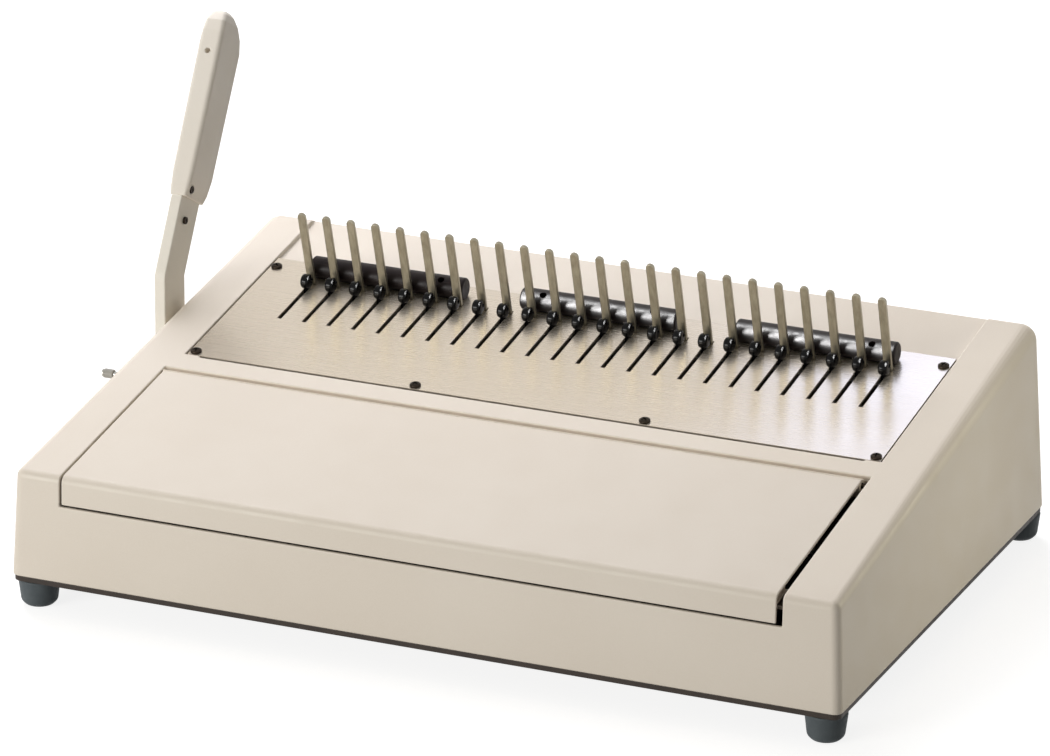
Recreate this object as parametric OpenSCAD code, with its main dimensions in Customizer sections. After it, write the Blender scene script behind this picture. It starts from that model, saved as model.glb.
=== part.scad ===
// Desk punch and comb binding machine: a wedge-shaped casing with a hinged front lid, a steel deck
// with a comb opener, and a side lever that drives the punches and the opener hooks together.
// The casing's front bottom edge is y = 0 and its bottom edge z = 0 in the machine's own frame.

/* [Casing] */
// Distance from the middle of the last finger to the side of the casing
side_margin = 62.7; // [58:0.1:70]
// Depth of the casing at its bottom edge
case_d = 314.5; // [310:0.5:335]
// Height of the front wall
front_h = 57.5; // [54:0.5:62]
// Height of the rear wall
rear_h = 104; // [99:0.5:109]
// Thickness of the casing walls
wall = 2.4; // [2:0.1:2.6]
// Radius of the casing's edges and front corners
edge_r = 4.5; // [3:0.5:6]
// Radius of the rear top edge and of the rear corners
rear_edge_r = 9; // [6:0.5:10]
// Inward lean of the side walls, mm per mm of height
side_draft = 0.045; // [0:0.005:0.06]
// Inward lean of the front wall, mm per mm of height
front_draft = 0.03; // [0:0.005:0.05]
// Inward lean of the rear wall, mm per mm of height
rear_draft = 0.05; // [0:0.005:0.06]
// Width of the cheeks on both sides of the deck
cheek_w = 32.2; // [30:0.2:34]
// Depth of the step down to the strip behind the deck
strip_drop = 2.5; // [1:0.1:3.5]
// Thickness of the dark base plate under the casing
base_t = 3; // [2:0.1:4]

/* [Feet] */
// Height of the rubber feet
foot_h = 14.5; // [10:0.5:20]
// Diameter of a foot at the top
foot_top_d = 22; // [20:0.5:22]
// Diameter of a foot on the table
foot_bottom_d = 19; // [17:0.5:20]
// Distance of a foot's centre from the edges of the casing
foot_inset = 11; // [11:0.5:18]

/* [Lid] */
// Thickness of the lid
lid_t = 1.6; // [1.4:0.1:2.2]
// Gap at the lid's left end
lid_gap_left = 1.2; // [0.8:0.1:3]
// Gap at the lid's right end
lid_gap_right = 3.3; // [0.8:0.1:3.6]
// Sideways offset of the lid from the middle of the casing
lid_shift = -2.9; // [-3.4:0.1:2]
// Gap in front of and behind the lid
lid_end_gap = 1.2; // [1:0.1:2.2]
// Depth of the lid's front skirt
lid_skirt = 15; // [10:0.5:20]
// Radius of the hinge barrel
barrel_r = 3.4; // [3:0.1:4]
// Diameter of the hinge pins
hinge_pin_d = 3; // [2.5:0.1:3.4]

/* [Deck] */
// Distance from the front top edge to the deck plate, along the slope
deck_front = 142; // [138:0.5:144]
// Length of the deck plate along the slope
deck_len = 115; // [113:0.5:122]
// Thickness of the deck plate
deck_t = 1.5; // [1:0.1:2]
// Depth of the deck's top below the cheeks
deck_drop = 0.5; // [0.3:0.1:1]
// Gap round the deck plate
deck_gap = 0.8; // [0.5:0.1:1.2]
// Width of the paper slot in front of the deck
paper_gap = 2.3; // [1.8:0.1:2.6]
// Width of the hook slots
slot_w = 2.4; // [2:0.1:2.8]

/* [Comb opener] */
// Number of fingers, hooks and punches
tine_count = 24; // [19:1:24]
// Distance from one finger to the next
pitch = 14.2875; // [14:0.0125:14.4]
// Width of a finger
finger_w = 4.5; // [3.5:0.1:5]
// Thickness of a finger
finger_t = 2; // [1.5:0.1:2.2]
// Height of the fingers above the slope
finger_h = 45; // [35:0.5:50]
// Forward lean of the fingers from the deck's normal
finger_lean = 8.3; // [0:0.1:9]
// Distance from the foot of the fingers to the deck's rear edge
finger_back = 21.5; // [20:0.5:22.5]
// Travel of the hooks
hook_travel = 32.5; // [26:0.5:33]
// Width of a hook's head
hook_w = 5; // [3:0.1:5]
// Diameter of a hook's head
hook_d = 8; // [7:0.1:8.4]
// Diameter of the spine rests
rest_d = 12; // [11:0.1:12.4]
// Gap between one spine rest and the next
rest_gap = 33; // [26:0.5:40]

/* [Punch] */
// Width of a punched hole
punch_w = 8; // [7:0.1:8.5]
// Height of a punched hole
punch_h = 3; // [2.5:0.1:3.2]
// Travel of the punches
punch_travel = 8; // [7:0.1:8.5]
// Depth of the punches below the slope
punch_n = 18; // [17.5:0.1:20]
// Thickness of the die plate
die_t = 5; // [4:0.1:5.5]
// Thickness of the punch guide
guide_t = 8; // [6:0.1:8.5]
// Thickness of the punch bar
bar_t = 8.5; // [7:0.1:10]
// Diameter of the rods that guide the punch bar
rod_d = 8; // [6:0.1:8]

/* [Drive] */
// Diameter of the drive shaft
shaft_d = 12; // [10:0.1:12.4]
// Distance from the deck's front edge to the shaft, along the slope
shaft_back = 47; // [45:0.5:48]
// Depth of the shaft below the slope
shaft_depth = 39; // [38.5:0.1:40]
// Swing of the lever in degrees
lever_travel = 72.5; // [64:0.5:74]
// Thickness of the side frames
frame_t = 3; // [2.5:0.1:3.5]

/* [Lever] */
// Thickness of the lever arm
arm_t = 6.4; // [5.5:0.1:8]
// Depth of the lever arm, front to back
arm_w = 24.5; // [20:0.5:25]
// Length of the upright shank between the pivot and the bend
shank_len = 53; // [48:0.5:58]
// Length of the lever above the bend
upper_len = 145; // [135:1:155]
// Backward lean of the lever above the bend
upper_lean = 29.5; // [20:0.5:35]
// Thickness of the grip
grip_t = 13; // [11:0.5:15]
// Depth of the grip, front to back
grip_w = 29; // [28:0.2:32]
// Length of the grip
grip_len = 103; // [90:1:108]
// Gap between the casing and the lever
lever_gap = 1.5; // [1.2:0.1:4]
// Distance from the pivot to the lever's stop peg
peg_reach = 82; // [78:1:86]
// Diameter of the stop peg's sleeve
peg_d = 5; // [5:0.5:8]

/* [Fits] */
// Radial clearance of turning and sliding parts
run_gap = 0.05; // [0.02:0.01:0.1]
// Clearance between parts that are fixed together
seat_gap = 0.02; // [0.01:0.01:0.05]
// Clearance between parts that pass each other
pass_gap = 0.3; // [0.2:0.05:0.5]
// Diameter of the machine screws
screw_d = 3; // [2.5:0.1:3.5]

/* [Hidden] */
$fn = 64;
hull_fn = 32;
beige = "#e2d8cb";
steel = "#c8c8c4";
dark = "#33363a";

// Width of the casing at its bottom edge, from the row of tines
tine_span = (tine_count - 1) * pitch;
case_w = tine_span + 2 * side_margin;

// Slope of the top face, measured from the front top edge
top_y0 = front_h * front_draft;
rear_y = case_d - rear_h * rear_draft;
slope = atan2(rear_h - front_h, rear_y - top_y0);
slope_len = norm([rear_y - top_y0, rear_h - front_h]);
function deck_y(s, n) = top_y0 + s * cos(slope) - n * sin(slope);
function deck_z(s, n) = front_h + s * sin(slope) + n * cos(slope);
function slope_z(y) = front_h + (y - top_y0) * tan(slope);
function half_at(z) = case_w / 2 - side_draft * z;

// Lid, crossbar and deck, as distances along the slope
cross_w = 14.3;
cross_rear = deck_front - paper_gap;
cross_front = cross_rear - cross_w;
lid_rear = cross_front - lid_end_gap;
hinge_s = lid_rear - barrel_r;
hinge_n = -barrel_r - 0.1;
ledge_front = 9;
boss_r = 7;
opening_half = case_w / 2 - cheek_w;
lid_half = opening_half;
lid_cut_n = -max(lid_t, wall) - pass_gap;
function lid_side_gap(side) = side < 0 ? lid_gap_left : lid_gap_right;
deck_half = opening_half - deck_gap;
deck_rear = deck_front + deck_len;
deck_under = -deck_drop - deck_t;
rib_t = 3;
rib_top_n = -wall / 2;
ledge_w = 10;
ledge_t = 3;
ledge_top_n = -12;
ledge_n = ledge_top_n - ledge_t;
lid_rest_w = 4;
lid_rest_len = 14;
ledge_rear = ledge_front + lid_rest_len + 4;
hinge_boss_w = 10;
hinge_pin_len = 20;
skirt_z = front_h - lid_skirt;

// Tines
tine_x = [for (i = [0 : tine_count - 1]) i * pitch - tine_span / 2];
finger_root = deck_rear - finger_back;
hook_s = finger_root - 6.5;
slot_end_gap = 1.2;
finger_depth = 11;
hook_stem_l = 4.4;
hook_stem_w = slot_w - 2 * pass_gap;
slot_rear = hook_s + hook_stem_l / 2 + slot_end_gap;
slot_front = hook_s - hook_travel - hook_stem_l / 2 - slot_end_gap;
rest_len = (tine_span + finger_w - 2 * rest_gap) / 3;
rest_pitch = rest_len + rest_gap;
rest_s = finger_root + 8.5;
rest_seat = 0.6;
rest_edge = 0.8;
rest_n = -deck_drop + rest_d / 2 - rest_seat;
rest_screw_d = 4;
rest_screw_x = rest_len / 4.3;
rest_hole_x = rest_len / 2 - 13;
rest_hole_d = 3.6;
rest_hole_tilt = 30;

// Side frames and what they carry
frame_side_gap = 4.8;
frame_x = opening_half - frame_t - frame_side_gap;
frame_out = frame_x + frame_t;
flange_w = deck_half - frame_x - seat_gap;
deck_screw_x = frame_x + flange_w / 2;
deck_screw_front = deck_front + 3.5;
deck_screw_rear = deck_rear - 10;
deck_screw_mid = 4.5 * pitch;
frame_top_n = -wall - pass_gap;
frame_front_s = cross_rear - die_t - 2;
frame_rear_s = deck_rear - 2;
set_low_n = -34;
stop_n = -24;

// Shaft and cranks in the frame of the slope
shaft_s = deck_front + shaft_back;
shaft_n = -shaft_depth;
pivot_y = deck_y(shaft_s, shaft_n);
pivot_z = deck_z(shaft_s, shaft_n);
half_swing = lever_travel / 2;
crank_r = hook_travel / 2 / sin(half_swing);
crank_pin_d = 8;
crank_s = shaft_s + crank_r * sin(half_swing);
crank_n = shaft_n + crank_r * cos(half_swing);
crank_hub_r = shaft_d / 2 + 5;
crank_boss_r = crank_pin_d / 2 + 3;
crank_play = 0.6;
crank_t = 4;
fork_t = 4;
fork_x = frame_x - 8.5;
crank_x = fork_x - 1.5 - crank_t;
ecc_offset = punch_travel / 2 / sin(half_swing);
ecc_r = shaft_d / 2 + ecc_offset + 2.2;
ecc_t = 10;
ecc_x = 8.4 * pitch;
ecc_s = shaft_s + ecc_offset * sin(half_swing);
ecc_n = shaft_n + ecc_offset * cos(half_swing);
ecc_top_n = shaft_n + ecc_offset + ecc_r;
yoke_t = 8;
yoke_wall = 3.5;
yoke_play = 0.35;
bush_r = shaft_d / 2 + 3;

// Punch set along the slope, with the punches drawn back
punch_tip = deck_front + 0.6;
bar_front = deck_front + guide_t + punch_travel + 0.5;
bar_rear = bar_front + bar_t;
bar_top_n = -12;
bar_low_n = -32;
bar_half = crank_x - 1;
rod_n = -27;
rod_pos = 5 * pitch;
rod_rear = bar_rear + 11;
paper_half = frame_x - 1;

// Hook rail along the slope, with the hooks at rest
rail_top_n = deck_under - 1;
rail_low_n = rail_top_n - 8;
rail_front = hook_s - 6.5;
rail_rear = hook_s + 3.2;
finger_rail_front = rail_rear + 0.8;
finger_rail_rear = finger_rail_front + 7.5;
finger_rail_low_n = -14;

// Lever, outside the left wall
arm_in = half_at(pivot_z) + lever_gap;
arm_out = arm_in + arm_t;
arm_mid = (arm_in + arm_out) / 2;
hub_r = 15;
bolt_d = 6;
bolt_head_h = 4;
washer_t = 1.6;
lever_out = arm_out + washer_t + bolt_head_h;
x_mid = (case_w / 2 - lever_out) / 2;
edge_offset = arm_w / 2 + shank_len * sin(upper_lean);
peg_rest_angle = 90 - upper_lean - acos((edge_offset + peg_d / 2 + pass_gap) / peg_reach);
peg_angle = peg_rest_angle + lever_travel;
peg_y = pivot_y - peg_reach * sin(peg_angle);
peg_z = pivot_z + peg_reach * cos(peg_angle);
peg_wall_x = half_at(peg_z);
peg_stand = 0.3;
peg_core_d = peg_d - 2;
peg_end = arm_in + 0.5 * arm_t;
arm_in_grip = upper_len - 30;
grip_foot = upper_len - grip_len;
grip_front = arm_w / 2 - 0.5;
grip_back = grip_w - grip_front;
tang_front = grip_front - 2.5;
grip_seat = arm_t / 2 + 1.2;
grip_screw_spots = [[5.75 - grip_front, grip_foot + 4.5], [9.25 - arm_w / 2, grip_foot - 12]];
grip_screw_seats = [grip_seat, arm_t / 2];
grip_head_d = 4;
tip_hole_d = 3;
tip_hole_z = upper_len - 23.5;

// Places of the feet and of the screws that hold the base plate
foot_x = case_w / 2 - foot_inset;
foot_ys = [foot_inset, case_d - foot_inset];
post_d = 10;
post_hole = 22;
post_x = case_w / 2 - 17;
post_inset = 42;
post_ys = [post_inset, case_d - post_inset];
foot_well_d = 9;
foot_well_h = foot_h - 5;
foot_edge = 2.4;
foot_screw_d = screw_d + 1;
foot_head_d = 7.5;
foot_head_h = 2.4;
head_d = 6;
head_h = 1.8;
base_inset = 0.6;
floor_z = base_t + foot_h;

// Chip tray and chute
tray_t = 2;
tray_half = lid_half - ledge_w - 1;
tray_front = 9;
tray_rear = hinge_s - barrel_r - 5;
tray_h = front_h - 23.5;
chute_t = 1.2;

// Screws and studs in the side frames
foot_flange = 12;
frame_screw_x = frame_out + foot_flange / 2;
frame_screw_ys = [deck_y(frame_front_s, frame_top_n) + 16, deck_y(frame_rear_s, frame_top_n) - 16];
frame_bolt_l = 14;
bolt_n = -29;
bolt_spots = [[cross_rear - die_t / 2, bolt_n], [deck_front + guide_t / 2, bolt_n],
              [finger_rail_rear - 2.6, finger_rail_low_n / 2 - 1]];
crank_stop_d = 6;
crank_stop_reach = 14;
crank_stop_side = crank_boss_r + crank_stop_d / 2 + pass_gap;
crank_stop_s = shaft_s + crank_stop_reach * sin(half_swing) + crank_stop_side * cos(half_swing);
crank_stop_n = shaft_n + crank_stop_reach * cos(half_swing) - crank_stop_side * sin(half_swing);

// Return spring on the right end of the shaft
spring_wire = 2;
spring_r = shaft_d / 2 + 4.5;
spring_turns = 4.5;
spring_pitch = 2.7;
spring_x = frame_out + 5;
spring_leg = 24;
spring_len = spring_turns * spring_pitch;
spring_rings = 16;
spring_steps = spring_turns * spring_rings;
anchor_d = 5;
anchor_s = shaft_s - spring_leg + 3;
anchor_n = shaft_n + spring_r - (spring_wire + anchor_d) / 2 - 0.15;
collar_x = spring_x + spring_len + 2;
collar_t = 6;
shaft_right = collar_x + collar_t + 0.5;

// Puts the machine's own frame on the middle of its footprint, with the feet on z = 0
module machine() translate([-x_mid, -case_d / 2, floor_z]) children();

// The frame of the slope: y runs up the slope from the front top edge and z is its normal
module slope_frame() translate([0, top_y0, front_h]) rotate([slope, 0, 0]) children();
module on_slope() machine() slope_frame() children();

// The frame of the lever's pivot
module at_pivot() machine() translate([0, pivot_y, pivot_z]) children();

// The middle of the lid
module at_lid() translate([lid_shift, 0, 0]) children();

// The same shape on the left and on the right
module both_sides() {
    children();
    mirror([1, 0, 0]) children();
}

// A shape drawn for the right, put on the left where side is -1
module on_side(side) mirror([side < 0 ? 1 : 0, 0, 0]) children();

// A box between two corners
module box(low, high) translate(low) cube(high - low);

// A cylinder along x between two ends
module rod_x(x0, x1, d, y = 0, z = 0)
    translate([x0, y, z]) rotate([0, 90, 0]) cylinder(d = d, h = x1 - x0);

// A flat outline drawn in y and z, made solid from x0 to x1
module slab_x(x0, x1) translate([x0, 0, 0]) rotate([90, 0, 90]) linear_extrude(x1 - x0) children();

// A cross-head screw that points down, with its head standing on z = 0
module screw(d, l, head_d, head_h) {
    recess = d * 0.3;
    difference() {
        union() {
            cylinder(d = head_d, h = head_h);
            translate([0, 0, -l]) cylinder(d = d, h = l);
        }
        for (turn = [0, 90])
            rotate(turn)
                translate([-head_d * 0.32, -recess / 2, head_h * 0.5])
                    cube([head_d * 0.64, recess, head_h]);
    }
}

// Form of the casing, which the lid shares: its outside, or the space inside a wall of thickness inset
module casing_form(inset = 0) {
    low = inset > 0 ? -1 : 0;
    front_r = edge_r - inset;
    back_r = rear_edge_r - inset;
    front_z = slope_z(top_y0 + edge_r) - edge_r / cos(slope);
    back_y = rear_y - rear_edge_r;
    back_z = slope_z(back_y) - rear_edge_r / cos(slope);
    hull()
        both_sides() {
            translate([case_w / 2 - edge_r, edge_r, low]) cylinder(r = front_r, h = 1, $fn = hull_fn);
            translate([case_w / 2 - rear_edge_r, case_d - rear_edge_r, low])
                cylinder(r = back_r, h = 1, $fn = hull_fn);
            translate([half_at(front_h) - edge_r, top_y0 + edge_r, front_z]) sphere(front_r, $fn = hull_fn);
            translate([half_at(rear_h) - rear_edge_r, back_y, back_z]) sphere(back_r, $fn = hull_fn);
        }
}

// Shell, with the two rests that the closed lid comes down on
module casing() color(beige) {
    difference() {
        union() {
            machine() difference() {
                casing_form();
                casing_form(wall);
            }
            casing_ribs();
        }
        casing_cuts();
    }
    on_slope()
        at_lid()
            both_sides()
                box([lid_half - ledge_w + 1, ledge_front + 2, ledge_n + ledge_t / 2],
                    [lid_half - ledge_w + 1 + lid_rest_w, ledge_front + 2 + lid_rest_len, -lid_t - pass_gap]);
}

// Rib beside the lid, with the ledge under its front corner and the hinge pin's boss
module lid_side_rib(edge) {
    box([edge - pass_gap, ledge_front, ledge_n], [edge + rib_t, cross_front + rib_t / 2, rib_top_n]);
    box([lid_half - ledge_w, ledge_front + 1, ledge_n + ledge_t / 4],
        [edge + rib_t / 2, ledge_rear, ledge_top_n]);
    box([edge, hinge_s - boss_r, hinge_n - boss_r],
        [edge + hinge_boss_w, cross_front + rib_t * 0.7, rib_top_n - seat_gap]);
}

module casing_ribs() {
    on_slope() {
        at_lid() {
            for (side = [-1, 1])
                on_side(side) lid_side_rib(lid_half + lid_side_gap(side));
            box([-lid_half - lid_gap_left - rib_t, cross_front - pass_gap, ledge_n + ledge_t / 2],
                [lid_half + lid_gap_right + rib_t, cross_front + rib_t, rib_top_n]);
        }
        box([-opening_half - rib_t, deck_rear + deck_gap, -strip_drop - wall],
            [opening_half + rib_t, slope_len - rear_edge_r / 2 - wall, -1]);
    }
    machine()
        both_sides()
            for (y = post_ys)
                translate([post_x, y, 0]) cylinder(d = post_d, h = slope_z(y) - wall / 2);
}

// Profile of the opening for the lid: down the front wall, and along the slope to the crossbar
function lid_opening_profile(over) =
    let (low_z = skirt_z - lid_end_gap,
         back_y = edge_r + wall,
         high_z = deck_z(cross_front, over))
    [[-over, low_z], [back_y, low_z], [back_y, slope_z(back_y) + lid_cut_n / cos(slope)],
     [deck_y(cross_front, lid_cut_n), deck_z(cross_front, lid_cut_n)],
     [deck_y(cross_front, over), high_z], [-over, high_z]];

module casing_cuts() {
    over = 20;
    on_slope() {
        at_lid()
            both_sides()
                rod_x(lid_half, lid_half + hinge_pin_len, hinge_pin_d + 2 * seat_gap, hinge_s, hinge_n);
        box([-opening_half, deck_front - deck_gap, -over], [opening_half, deck_rear + deck_gap, over]);
        box([-paper_half, cross_rear, -over], [paper_half, deck_front, over]);
        box([-opening_half, deck_rear, -strip_drop], [opening_half, slope_len + over, over]);
    }
    machine() {
        at_lid()
            slab_x(-lid_half - lid_gap_left, lid_half + lid_gap_right) polygon(lid_opening_profile(over));
        rod_x(-case_w / 2 - 1, -half_at(rear_h) + 2 * wall, shaft_d + 3, pivot_y, pivot_z);
        rod_x(-case_w / 2 - 1, -half_at(rear_h) + 2 * wall, peg_core_d + 2 * seat_gap, peg_y, peg_z);
        both_sides()
            for (y = post_ys)
                translate([post_x, y, -1]) cylinder(d = screw_d + 2 * seat_gap, h = post_hole);
    }
}

// Steel plate under the casing, which everything inside stands on
module base_plate() color(dark) machine() {
    difference() {
        translate([0, 0, -base_t])
            linear_extrude(base_t)
                polygon(round_box(-case_w / 2 + base_inset, base_inset,
                    case_w / 2 - base_inset, case_d - base_inset, edge_r, rear_edge_r));
        translate([0, 0, -base_t - 1])
            both_sides() {
                for (y = post_ys)
                    translate([post_x, y, 0]) cylinder(d = screw_d + 2 * seat_gap, h = base_t + 2);
                for (y = foot_ys)
                    translate([foot_x, y, 0]) cylinder(d = foot_screw_d + 2 * seat_gap, h = base_t + 2);
                for (y = frame_screw_ys)
                    translate([frame_screw_x, y, 0]) cylinder(d = screw_d + 2 * seat_gap, h = base_t + 2);
            }
    }
}

// One rubber foot with the well for its screw
module foot(side, row) color(dark) machine() translate([side * foot_x, foot_ys[row], -floor_z]) {
    difference() {
        union() {
            cylinder(d1 = foot_bottom_d - 2 * foot_edge, d2 = foot_bottom_d, h = foot_edge);
            translate([0, 0, foot_edge])
                cylinder(d1 = foot_bottom_d, d2 = foot_top_d, h = foot_h - foot_edge);
        }
        translate([0, 0, -1]) cylinder(d = foot_well_d, h = foot_well_h + 1);
        cylinder(d = foot_screw_d + 2 * seat_gap, h = foot_h + 1);
    }
}
module foot_front_left() foot(-1, 0);
module foot_front_right() foot(1, 0);
module foot_rear_left() foot(-1, 1);
module foot_rear_right() foot(1, 1);

module foot_screws() color(steel) machine()
    both_sides()
        for (y = foot_ys)
            translate([foot_x, y, foot_well_h - floor_z])
                rotate([180, 0, 0])
                    screw(foot_screw_d, foot_h - foot_well_h + base_t + 3, foot_head_d, foot_head_h);

module casing_screws() color(steel) machine()
    both_sides()
        for (y = post_ys)
            translate([post_x, y, -base_t]) rotate([180, 0, 0]) screw(screw_d, post_hole - 4, head_d, head_h);

// Front lid with its hinge barrel
module front_lid() color(beige) {
    difference() {
        union() {
            machine() intersection() {
                difference() {
                    casing_form();
                    casing_form(lid_t);
                }
                at_lid() box([-lid_half, -1, skirt_z], [lid_half, deck_y(hinge_s, 0), rear_h]);
            }
            on_slope() at_lid() rod_x(-lid_half, lid_half, 2 * barrel_r, hinge_s, hinge_n);
        }
        on_slope() at_lid() both_sides()
            rod_x(lid_half - hinge_pin_len, lid_half + 1, hinge_pin_d + 2 * run_gap, hinge_s, hinge_n);
    }
}

module lid_hinge_pins() color(steel) on_slope() at_lid()
    for (side = [-1, 1])
        on_side(side)
            rod_x(lid_half - hinge_pin_len + 6, lid_half + lid_side_gap(side) + hinge_boss_w, hinge_pin_d,
                hinge_s, hinge_n);

// Tray that catches the punched chips, lifted out under the lid
module chip_tray() color(dark) machine() at_lid()
    difference() {
        box([-tray_half, tray_front, 0], [tray_half, tray_rear, tray_h]);
        box([-tray_half + tray_t, tray_front + tray_t, tray_t],
            [tray_half - tray_t, tray_rear - tray_t, tray_h + 1]);
    }

// Bent sheet under the die that leads the chips into the tray
module chip_chute() color(steel) machine() {
    face = cross_rear - die_t;
    top = [deck_y(face, stop_n), deck_z(face, stop_n)];
    low = [deck_y(face, set_low_n), deck_z(face, set_low_n)];
    lip = [tray_rear - 6, tray_h + 3];
    slab_x(-bar_half, bar_half)
        polygon([top, low, low - [chute_t, 0.5], top - [chute_t, 3 * chute_t], lip, lip + [0, chute_t],
                 top - [chute_t, 0]]);
}

// Steel deck with the slots for the hooks and the holes for the fingers
module deck_plate() color(steel) on_slope()
    difference() {
        box([-deck_half, deck_front, deck_under], [deck_half, deck_rear, -deck_drop]);
        for (x = tine_x) {
            box([x - slot_w / 2, slot_front, deck_under - 1], [x + slot_w / 2, slot_rear, 1]);
            box([x - finger_w / 2 - pass_gap, finger_root - finger_t / 2 - 1, deck_under - 1],
                [x + finger_w / 2 + pass_gap, finger_root + finger_t / 2 + 1, 1]);
        }
        translate([0, 0, deck_under - 1]) {
            at_deck_screws() cylinder(d = screw_d + 2 * seat_gap, h = deck_t + 2);
            at_rest_screws() cylinder(d = rest_screw_d + 2 * seat_gap, h = deck_t + 2);
        }
    }

module at_deck_screws()
    both_sides() {
        translate([deck_screw_x, deck_screw_front, 0]) children();
        translate([deck_screw_mid, deck_screw_front, 0]) children();
        translate([deck_screw_x, deck_screw_rear, 0]) children();
    }

module at_rest_screws()
    for (i = [-1 : 1])
        for (side = [-1, 1])
            translate([i * rest_pitch + side * rest_screw_x, rest_s, 0]) children();

module deck_screws() color(dark) on_slope()
    at_deck_screws() translate([0, 0, -deck_drop]) screw(screw_d, deck_t + 2.8, head_d, head_h);

// Fixed fingers that hold the comb's spine
module finger(grow = 0) {
    half = finger_w / 2;
    rotate([finger_lean, 0, 0])
        translate([0, finger_t / 2 + grow, 0])
            rotate([90, 0, 0])
                linear_extrude(finger_t + 2 * grow)
                    union() {
                        translate([-half - grow, -finger_depth - grow])
                            square([finger_w + 2 * grow, finger_depth + finger_h - half + grow]);
                        translate([0, finger_h - half]) circle(half);
                    }
}

module fingers() color(steel) on_slope()
    for (x = tine_x)
        translate([x, finger_root, 0]) finger();

module finger_rail() color(steel) on_slope()
    difference() {
        box([-frame_x, finger_rail_front, finger_rail_low_n], [frame_x, finger_rail_rear, deck_under]);
        for (x = tine_x)
            translate([x, finger_root, 0]) finger(seat_gap);
        frame_bolt_holes();
    }

// Round bars behind the fingers that the comb's spine lies against
module spine_rest(i) color(dark) on_slope() translate([i * rest_pitch, rest_s, rest_n]) {
    half = rest_len / 2;
    r = rest_d / 2;
    difference() {
        rotate([0, 90, 0])
            rotate_extrude()
                polygon([[0, -half], [r - rest_edge, -half], [r, rest_edge - half],
                         [r, half - rest_edge], [r - rest_edge, half], [0, half]]);
        box([-rest_len, -rest_d, -rest_d], [rest_len, rest_d, -rest_d / 2 + rest_seat]);
        both_sides() {
            translate([rest_screw_x, 0, -rest_d]) cylinder(d = rest_screw_d + 2 * seat_gap, h = rest_d);
            translate([rest_hole_x, 0, 0])
                rotate([rest_hole_tilt, 0, 0]) translate([0, 0, 1.5]) cylinder(d = rest_hole_d, h = rest_d);
        }
    }
}
module spine_rest_left() spine_rest(-1);
module spine_rest_middle() spine_rest(0);
module spine_rest_right() spine_rest(1);

module rest_screws() color(steel) on_slope()
    at_rest_screws()
        translate([0, 0, deck_under]) rotate([180, 0, 0]) screw(rest_screw_d, deck_t + 4, head_d, head_h);

// Hooks that open the comb's rings, on the rail that carries them
module hook_stem(grow = 0) {
    half_l = hook_stem_l / 2 + grow;
    half_w = hook_stem_w / 2 + grow;
    box([-half_w, -half_l, rail_top_n - 4 - grow], [half_w, half_l, hook_d / 2]);
}

module hook() {
    mouth = hook_d * 0.2;
    translate([0, 0, -deck_drop + pass_gap]) {
        difference() {
            slab_x(-hook_w / 2, hook_w / 2)
                difference() {
                    translate([0, hook_d / 2]) circle(d = hook_d);
                    translate([hook_d * 0.2, hook_d * 0.62]) circle(mouth);
                    translate([hook_d * 0.2, hook_d * 0.62 - mouth])
                        rotate(40) square([hook_d, mouth * 1.4]);
                }
            box([-hook_w, -hook_stem_l / 2, -1], [hook_w, hook_stem_l / 2, hook_d * 0.18]);
        }
        box([-hook_w / 2, -hook_stem_l / 2, 0], [hook_w / 2, hook_stem_l / 2, hook_d * 0.18]);
    }
    difference() {
        hook_stem();
        translate([0, 0, -deck_drop + pass_gap]) box([-hook_w, -hook_d, 0], [hook_w, hook_d, hook_d]);
    }
}

module hooks() color(dark) on_slope()
    for (x = tine_x)
        translate([x, hook_s, 0]) hook();

module hook_rail() color(steel) on_slope() {
    rail_half = frame_x - 2 * pass_gap;
    fork_half = crank_boss_r + 1;
    fork_low = crank_n - crank_boss_r;
    slot_half = crank_pin_d / 2 + crank_play;
    fork_slot_n = shaft_n + crank_r + slot_half;
    difference() {
        union() {
            box([-rail_half, rail_front, rail_low_n], [rail_half, rail_rear, rail_top_n]);
            both_sides()
                box([fork_x, crank_s - fork_half, fork_low],
                    [fork_x + fork_t, crank_s + fork_half, rail_top_n]);
            both_sides()
                box([fork_x, crank_s, rail_low_n], [fork_x + fork_t, rail_rear, rail_top_n]);
        }
        both_sides()
            box([fork_x - 1, crank_s - slot_half, fork_low - 1],
                [fork_x + fork_t + 1, crank_s + slot_half, fork_slot_n]);
        for (x = tine_x)
            translate([x, hook_s, 0]) hook_stem(seat_gap);
    }
}

// Strips on the side frames that the ends of the hook rail slide on
module rail_guide(side) color(steel) on_slope() {
    top_n = rail_low_n - pass_gap;
    strip_x = fork_x + fork_t + 1.3;
    on_side(side)
        box([strip_x, rail_front - hook_travel - 4, top_n - 3], [frame_x, rail_rear + pass_gap, top_n]);
}
module rail_guide_left() rail_guide(-1);
module rail_guide_right() rail_guide(1);

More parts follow.
